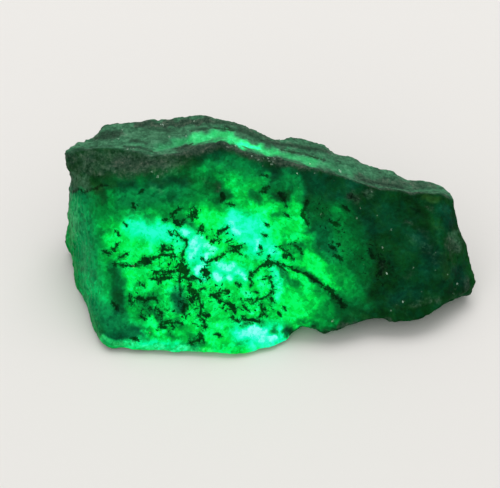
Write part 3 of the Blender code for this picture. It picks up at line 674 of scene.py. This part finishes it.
def light_field(canvas):
    """The light inside: painted where the front view sees it, and a faint glow low down elsewhere."""
    low_glow = np.exp(-(((canvas.u + 5) / 15) ** 2) - (canvas.places[:, 2] / 7) ** 2)
    unseen = 0.18 + 0.34 * low_glow + 0.10 * canvas.mottle
    seen = mixed(canvas.shelf, canvas.painted(0.14, LIGHT), canvas.painted(0.12, SHELF_LIGHT))
    return mixed(canvas.seen, unseen, seen)


def patch_field(canvas, strokes, low, size, shift):
    """Painted patches where the front view sees the stone, and patches made by noise elsewhere."""
    unseen = 0.5 * smooth(low, 0.7, canvas.fractal(size, 3, shift))
    return mixed(canvas.seen, unseen, canvas.painted(0, strokes))


def ridge_skin(canvas):
    """The mica skin along the ridge itself, by the reach and the strength that RIM gives it."""
    along, reach, strength = np.array(RIM).T
    reach = np.where(canvas.past_ridge < 0, np.interp(canvas.u, along, reach), 0.35)
    rim = np.exp(-((canvas.past_ridge / reach) ** 2)) * smooth(12, 13, canvas.places[:, 2])
    return rim * (np.interp(canvas.u, along, strength) + 0.5 * canvas.fractal(2.2, 3, 6.0))


def mica_field(canvas):
    """The mica skin: painted, above the band's line, along the ridge and in patches elsewhere."""
    # the band at the upper left: mica whose grey-brown is partly a painted sheen
    above_band = smooth(-0.6, 0.8, canvas.w - np.interp(canvas.u, *np.array(BAND).T) + 0.7 * canvas.mottle)
    above_band *= (1 - smooth(-11.5, -9.0, canvas.u)) * (1 - canvas.shelf)
    face = np.maximum(canvas.painted(0.04, SKIN), 0.40 * above_band)
    skinned = mixed(canvas.shelf, face, canvas.painted(0.10, SHELF_SKIN))
    unseen = 0.55 * (1 - canvas.seen) * smooth(-0.1, 0.6, canvas.mottle)
    return np.maximum(np.maximum(skinned * canvas.seen, ridge_skin(canvas)), unseen)


def flake_fields(canvas):
    """Which way the nearest flake is, how far it is and how bright it glints."""
    flakes = np.array(FLAKES)
    gaps = np.linalg.norm(canvas.at[:, None] - flakes[None, :, :2], axis=2)
    nearest = flakes[gaps.argmin(axis=1)]
    return {
        "flake_u": nearest[:, 0] - canvas.u, "flake_w": nearest[:, 1] - canvas.w,
        "flake_far": gaps.min(axis=1) + canvas.off_limits, "flake_bright": nearest[:, 2],
    }


def paint(skin):
    """Lays the painted fields over the skin, as attributes that its material reads."""
    canvas = Canvas(skin.data)
    fields = {
        "light": light_field(canvas),
        "cool": mixed(canvas.seen, 0.5, mixed(canvas.shelf, painted(0.1, COOL, canvas.at), 0.90)),
        **vein_fields(canvas),
        "specks": canvas.painted(0.12, SPECKS) * (1 - canvas.shelf) * canvas.seen,
        "skinned": mica_field(canvas),
        "olive": patch_field(canvas, OLIVE, low=0.1, size=6.0, shift=13.0),
        "breaks_and_sheen": patch_field(canvas, PALE_BREAKS_AND_SHEEN, low=-0.1, size=5.0, shift=17.0),
        **flake_fields(canvas),
        "shelf": canvas.shelf * canvas.seen,
    }
    for name, values in fields.items():
        layer = skin.data.attributes.new(name, "FLOAT", "POINT")
        layer.data.foreach_set("value", values.astype(np.float32))


# ---- its material
def linear(red, green, blue):
    """An sRGB colour of 0 to 255 as the linear one that a shader takes."""
    parts = [c / 255 for c in (red, green, blue)]
    return (*(c / 12.92 if c <= 0.04045 else ((c + 0.055) / 1.055) ** 2.4 for c in parts), 1.0)


# The colours of the light inside, by its brightness: how bright, then the warm and the cool green.
GLOW = [
    (0.14, (0, 0, 0), (0, 0, 0)), (0.25, (0, 44, 18), (0, 42, 24)), (0.35, (0, 80, 30), (0, 78, 44)),
    (0.42, (0, 104, 40), (4, 104, 58)), (0.50, (0, 130, 48), (8, 130, 70)),
    (0.58, (0, 158, 54), (8, 160, 82)), (0.66, (0, 190, 60), (6, 192, 100)),
    (0.73, (0, 222, 68), (2, 222, 122)), (0.79, (0, 244, 80), (0, 242, 146)),
    (0.86, (6, 252, 112), (6, 250, 180)), (0.93, (34, 253, 170), (42, 252, 212)),
    (1.00, (124, 255, 232), (136, 255, 246)),
]

# The stone's colours, from dark to light: the face, warm and cool; the shelf, its grey-green lightened by
# a painted sheen; the paler breaks, with a painted sheen; and the mica, its grey partly a painted sheen.
FACE = [
    (0.15, (4, 38, 12), (0, 34, 21)), (0.40, (5, 54, 18), (2, 50, 33)), (0.58, (8, 66, 24), (4, 62, 42)),
    (0.75, (20, 80, 34), (16, 78, 54)), (0.95, (54, 100, 52), (46, 98, 74)),
]
SHELF_AND_SHEEN_RAMP = [
    (0.10, (36, 62, 48)), (0.35, (52, 96, 70)), (0.55, (64, 118, 86)), (0.75, (82, 138, 104)),
    (1.00, (112, 158, 126)),
]
BREAKS_AND_SHEEN_RAMP = [(0.10, (28, 62, 42)), (0.40, (50, 90, 64)), (0.65, (70, 112, 84)), (1.00, (108, 150, 122))]
MICA_AND_SHEEN_RAMP = [
    (0.10, (22, 42, 32)), (0.35, (42, 66, 52)), (0.55, (56, 78, 63)), (0.75, (76, 90, 76)),
    (1.00, (102, 108, 94)),
]
OLIVE_GREEN = linear(46, 88, 30)
LIT_THROUGH = linear(0, 14, 4)
# painted glint: the near-white base colour of flakes and dots of mica
GLINT = linear(196, 226, 204)

# The inclusions: what glows through their thin edges and their middles, and their own colours.
EDGE_GLOW = linear(0, 78, 16)
COOL_MIDDLE = linear(0, 32, 10)
WARM_MIDDLE = linear(0, 58, 8)
INCLUSION = linear(0, 20, 6)
SHELF_INCLUSION = linear(34, 54, 42)
BLACK = linear(0, 0, 0)


class Graph:
    """A material's node tree, written as sums."""

    def __init__(self, name):
        self.material = bpy.data.materials.new(name)
        self.material.use_nodes = True
        self.tree = self.material.node_tree
        self.tree.nodes.clear()

    def node(self, kind, inputs=(), **settings):
        made = self.tree.nodes.new(kind)
        for name, value in settings.items():
            setattr(made, name, value)
        for key, value in dict(inputs).items():
            if isinstance(value, bpy.types.NodeSocket):
                self.tree.links.new(value, made.inputs[key])
            else:
                made.inputs[key].default_value = value
        return made

    def math(self, operation, *values):
        return self.node("ShaderNodeMath", enumerate(values), operation=operation).outputs[0]

    def vector(self, operation, inputs):
        return self.node("ShaderNodeVectorMath", inputs, operation=operation).outputs[0]

    def add(self, *values):
        return reduce(partial(self.math, "ADD"), values)

    def mul(self, *values):
        return reduce(partial(self.math, "MULTIPLY"), values)

    def sub(self, a, b):
        return self.math("SUBTRACT", a, b)

    def least(self, a, b):
        return self.math("MINIMUM", a, b)

    def most(self, a, b):
        return self.math("MAXIMUM", a, b)

    def step(self, value, low, high, to_low=0.0, to_high=1.0):
        inputs = {"Value": value, "From Min": low, "From Max": high, "To Min": to_low, "To Max": to_high}
        return self.node("ShaderNodeMapRange", inputs, interpolation_type="SMOOTHSTEP").outputs["Result"]

    def field(self, name):
        return self.node("ShaderNodeAttribute", attribute_name=name).outputs["Fac"]

    def noise(self, at, scale, detail, roughness=0.6, distortion=0.0):
        return self.node("ShaderNodeTexNoise", {
            "Vector": at, "Scale": scale, "Detail": detail, "Roughness": roughness, "Distortion": distortion,
        }).outputs["Fac"]

    def waves(self, *settings):
        """Noise about zero."""
        return self.sub(self.noise(*settings), 0.5)

    def cells(self, at, scale, bend):
        """A random value, -0.5 to 0.5, for each cell of a ragged cellular pattern."""
        noise_inputs = {"Vector": at, "Scale": scale * 1.3, "Detail": 5.0, "Roughness": 0.6}
        bent = self.node("ShaderNodeTexNoise", noise_inputs).outputs["Color"]
        moved = self.vector("ADD", {0: at, 1: self.vector("SCALE", {0: bent, "Scale": bend / scale})})
        cells = self.node("ShaderNodeTexVoronoi", {"Vector": moved, "Scale": scale})
        parts = self.node("ShaderNodeSeparateColor", {"Color": cells.outputs["Color"]})
        return self.sub(parts.outputs[0], 0.5)

    def ramp(self, value, stops):
        made = self.node("ShaderNodeValToRGB", {"Fac": value})
        ramp = made.color_ramp
        while len(ramp.elements) < len(stops):
            ramp.elements.new(0.5)
        for element, (place, colour) in zip(ramp.elements, stops):
            element.position = place
            element.color = linear(*colour)
        return made.outputs["Color"]

    def mix(self, share, a, b):
        """A mix of two colours, which are this node's inputs 6 and 7. Its output 2 is a colour."""
        return self.node("ShaderNodeMix", {0: share, 6: a, 7: b}, data_type="RGBA").outputs[2]

    def hued(self, value, stops, cool):
        """A colour by value, from stops that each have a warm and a cool colour."""
        warm_ramp = self.ramp(value, [(place, warm) for place, warm, _ in stops])
        cool_ramp = self.ramp(value, [(place, cooler) for place, _, cooler in stops])
        return self.mix(cool, warm_ramp, cool_ramp)


class StoneGraph(Graph):
    """The stone's node tree, with the painted fields and the noises that its parts share."""

    def __init__(self, name):
        super().__init__(name)
        self.light, self.cool, self.shelf = self.field("light"), self.field("cool"), self.field("shelf")
        spot = self.node("ShaderNodeTexCoord").outputs["Object"]
        self.at = self.vector("SCALE", {0: spot, "Scale": 1 / MM})
        self.coarse = self.waves(self.at, 0.55, 6.0, 0.65, 0.6)
        self.fine = self.waves(self.at, 2.0, 5.0, 0.65, 0.3)
        self.finer = self.waves(self.at, 4.5, 3.0, 0.6)
        self.shards = self.cells(self.at, 1.0, 1.6)
        self.shreds = self.cells(self.at, 2.3, 0.8)
        self.flecks = self.cells(self.at, 2.4, 0.35)

        # the grain, drawn out along the stone
        stretch = {"Vector": self.at, "Rotation": (0.75, 0.0, 0.12), "Scale": (0.35, 1.0, 1.0)}
        along_grain = self.node("ShaderNodeMapping", stretch).outputs[0]
        self.streak = self.waves(along_grain, 1.6, 5.0, 0.65, 0.5)

    def uneven(self, value, **weights):
        """A value made uneven by some of the shared noises, each by its own weight."""
        return self.add(value, *(self.mul(getattr(self, name), weight) for name, weight in weights.items()))


def vein_border(g):
    """How far outside the ragged edge of the nearest inclusion this is, and below 0 inside it."""
    across = g.math("ABSOLUTE", g.field("across"))
    near, width = g.field("near"), g.field("width")
    edge = g.sub(g.noise(g.at, 2.6, 2.0, 0.5), 0.49)
    ragged = g.mul(g.uneven(g.mul(edge, 0.7), flecks=0.55), g.step(g.shelf, 0.0, 1.0, 1.0, 0.4))
    swell = g.step(g.noise(g.at, 1.4, 1.0, 0.5), 0.40, 0.60, 0.25, 0.95)
    swell = g.most(swell, g.step(width, 0.44, 0.56, 0.0, 0.95))
    core = g.add(g.sub(across, g.least(g.mul(width, 0.7), 0.12)), g.mul(edge, 0.45))
    border = g.least(g.add(g.sub(across, g.mul(width, swell)), ragged), core)
    past_its_ends = g.most(g.sub(g.sub(near, width), 0.22), 0.0)
    return g.add(border, g.mul(past_its_ends, 3.0))


def inclusions(g):
    """How black the inclusions and specks are, how thick, and how much they dim what is around them."""
    border = vein_border(g)
    soft = g.step(g.light, 0.15, 0.45, 0.45, 0.07)
    vein = g.mul(g.step(border, soft, g.mul(soft, -1.0)), g.step(g.finer, 0.22, 0.06, 0.72, 1.0))
    specks = g.field("specks")
    dust = g.add(g.noise(g.at, 1.8, 2.0, 0.55, 0.5), g.mul(specks, 0.09), g.mul(g.flecks, 0.12))
    black = g.most(vein, g.mul(g.step(dust, 0.68, 0.71), g.step(specks, 0.1, 0.3)))
    thick = g.most(g.step(border, 0.03, -0.18), g.step(dust, 0.68, 0.76))

    fringe = g.step(border, 0.22, 0.0)
    shade = g.mul(g.step(dust, 0.58, 0.67), g.step(specks, 0.1, 0.4))
    web = g.math("ABSOLUTE", g.waves(g.at, 1.25, 4.0, 0.6, 0.6))
    thread = g.mul(g.step(web, 0.030, 0.008), g.most(g.step(border, 0.7, 0.15), g.step(specks, 0.4, 0.9)))
    dimming = g.add(g.mul(fringe, 0.14), g.mul(shade, 0.08), g.mul(thread, 0.17))
    return black, thick, dimming


def mottled_light(g):
    """The light inside, made uneven, but never much brighter than it was painted."""
    calm = g.mul(g.step(g.light, 0.78, 0.90, 1.0, 0.50), g.sub(1.0, g.mul(g.shelf, 0.6)))
    swing = g.uneven(0.03, coarse=0.30, fine=0.20, shards=0.12, shreds=0.12)
    light = g.add(g.light, g.mul(swing, calm, g.step(g.light, 0.15, 0.72, 0.3, 1.0)))
    return g.least(light, g.add(g.most(g.light, 0.77), 0.05))


def glow_colour(g, skin, black, thick, dimming):
    """The colour of the light that comes out of the stone."""
    light = g.sub(mottled_light(g), dimming)
    glow = g.hued(light, GLOW, g.uneven(g.cool, shreds=0.35, coarse=0.6))
    middle = g.mix(g.step(g.uneven(g.coarse, fine=0.6), -0.12, 0.12), COOL_MIDDLE, WARM_MIDDLE)
    through = g.mix(g.step(g.light, 0.2, 0.6), BLACK, g.mix(thick, EDGE_GLOW, middle))
    glow = g.mix(g.mul(black, 0.97), glow, through)
    return g.mix(g.mul(skin, 0.86), glow, BLACK)


def face_colour(g, breaks_and_sheen):
    """The front's own green, warm or cool, with olive patches, and paler breaks that carry a painted sheen.
    """
    tone = g.add(0.47, g.mul(g.waves(g.at, 0.34, 4.0, 0.55, 0.4), 1.3))
    tone = g.uneven(tone, fine=0.45, shreds=0.06)
    face = g.hued(tone, FACE, g.uneven(g.cool, coarse=2.0, shards=0.35))
    olive = g.step(g.uneven(g.field("olive"), coarse=0.8, fine=0.5), 0.2, 0.9)
    face = g.mix(g.mul(olive, 0.6), face, OLIVE_GREEN)
    # paler breaks: their own grey-green, with a painted sheen where they catch the daylight
    breaks_and_sheen_colour = g.ramp(g.uneven(0.5, finer=0.3, fine=0.8, coarse=0.4, shreds=0.2), BREAKS_AND_SHEEN_RAMP)
    return g.mix(g.mul(breaks_and_sheen, 0.75), face, breaks_and_sheen_colour)


def stone_colour(g, skin, black):
    """The stone's colour: face, shelf and mica, each with some painted sheen, and what light and inclusions
    darken.
    """
    # where the breaks are paler and carry a painted sheen
    breaks_and_sheen = g.step(g.uneven(g.field("breaks_and_sheen"), coarse=0.7, fine=0.8, shreds=0.2), 0.15, 0.95)
    # the shelf: its own grey-green, lightened by a painted sheen of the light from above
    shelf = g.ramp(g.uneven(0.5, streak=1.0, fine=0.8, coarse=0.8, shreds=0.22), SHELF_AND_SHEEN_RAMP)
    stone = g.mix(g.shelf, face_colour(g, breaks_and_sheen), shelf)
    # the mica: its own brown-grey, partly a painted sheen
    mica = g.ramp(g.uneven(0.5, streak=0.8, fine=1.3, finer=1.0, shreds=0.35), MICA_AND_SHEEN_RAMP)
    stone = g.mix(g.mul(skin, 0.9), stone, mica)
    lit = g.step(g.light, 0.2, 0.5, 0.0, 0.85)
    lit = g.mul(lit, g.sub(1.0, g.shelf), g.sub(1.0, g.mul(breaks_and_sheen, 0.7)))
    stone = g.mix(lit, stone, LIT_THROUGH)
    return g.mix(g.mul(black, 0.9), stone, g.mix(g.shelf, INCLUSION, SHELF_INCLUSION))


def glints(g):
    """How strongly the painted glints of the single flakes and the scattered dots of mica shine."""
    squares = [g.math("POWER", g.field(name), 2.0) for name in ("flake_u", "flake_w")]
    ragged = g.uneven(g.math("SQRT", g.add(*squares)), finer=0.9, coarse=0.5)
    flake = g.mul(g.step(ragged, 0.12, 0.04), g.step(g.field("flake_far"), 1.2, 0.9))
    dots = g.node("ShaderNodeTexVoronoi", {"Vector": g.at, "Scale": 0.9}).outputs["Distance"]
    dot = g.mul(g.step(dots, 0.11, 0.07), g.step(g.noise(g.at, 0.5, 2.0), 0.58, 0.68))
    return g.most(g.mul(flake, g.field("flake_bright"), 0.65), g.mul(dot, 0.28))


def stone_material():
    g = StoneGraph("raw emerald")
    skin = g.step(g.uneven(g.field("skinned"), coarse=0.5, fine=0.35), 0.16, 0.80)
    black, thick, dimming = inclusions(g)
    glint = glints(g)
    rough = g.sub(g.step(g.uneven(g.fine, coarse=0.5), -0.3, 0.3, 0.34, 0.62), g.mul(glint, 0.2))
    bumps = g.uneven(g.mul(g.finer, 0.5), fine=0.6, streak=g.mul(g.shelf, 0.8))
    bump = g.node("ShaderNodeBump", {"Strength": 0.55, "Distance": 0.25 * MM, "Height": bumps})
    shader = g.node("ShaderNodeBsdfPrincipled", {
        "Base Color": g.mix(glint, stone_colour(g, skin, black), GLINT),
        "Roughness": rough,
        "IOR": 1.58,
        "Specular IOR Level": 0.02,
        "Normal": bump.outputs[0],
        # a painted glow: the light of a lamp beneath, shining through the stone
        "Emission Color": glow_colour(g, skin, black, thick, dimming),
        "Emission Strength": 1.0,
    })
    out = g.node("ShaderNodeOutputMaterial", {"Surface": shader.outputs[0]})
    out.is_active_output = True
    g.material.cycles.emission_sampling = "NONE"
    return g.material


# ---- the set
def floor_material():
    g = Graph("floor")
    shader = g.node("ShaderNodeBsdfPrincipled", {"Base Color": linear(232, 230, 227), "Roughness": 0.9})
    g.node("ShaderNodeOutputMaterial", {"Surface": shader.outputs[0]})
    return g.material


def set_floor():
    corners = [(-FLOOR, -FLOOR, 0), (FLOOR, -FLOOR, 0), (FLOOR, FLOOR, 0), (-FLOOR, FLOOR, 0)]
    mesh = bpy.data.meshes.new("floor")
    mesh.from_pydata(corners, [], [(0, 1, 2, 3)])
    floor = bpy.data.objects.new("floor", mesh)
    bpy.context.scene.collection.objects.link(floor)
    mesh.materials.append(floor_material())


def look_from(thing, place, target):
    """Puts a lamp or a camera at a place and turns it to a target."""
    thing.location = place
    thing.rotation_euler = (Vector(target) - Vector(place)).to_track_quat("-Z", "Y").to_euler()
    bpy.context.scene.collection.objects.link(thing)


def set_lamp(name, place, size, power, colour):
    data = bpy.data.lights.new(name, "AREA")
    data.size = size
    data.energy = power
    data.color = colour
    look_from(bpy.data.objects.new(name, data), place, (0, 0, 0))


def set_lights():
    world = bpy.data.worlds.new("studio")
    bpy.context.scene.world = world
    world.use_nodes = True
    back = world.node_tree.nodes["Background"]
    back.inputs["Color"].default_value = (*WHITE, 1)
    back.inputs["Strength"].default_value = DAYLIGHT
    for name, settings in LAMPS.items():
        set_lamp(name, *settings)


def set_camera():
    data = bpy.data.cameras.new("camera")
    data.lens = LENS
    data.sensor_width = 36.0
    data.clip_start = 0.01
    camera = bpy.data.objects.new("camera", data)
    outwards = Vector((0, -math.cos(ELEVATION), math.sin(ELEVATION)))
    look_from(camera, TARGET + DISTANCE * outwards, TARGET)
    bpy.context.scene.camera = camera


skin = shape_skin()
paint(skin)
skin.data.materials.clear()
skin.data.materials.append(stone_material())
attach(skin, "root")
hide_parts(NODE)
set_floor()
set_lights()
set_camera()
bpy.context.scene.view_settings.view_transform = "Standard"
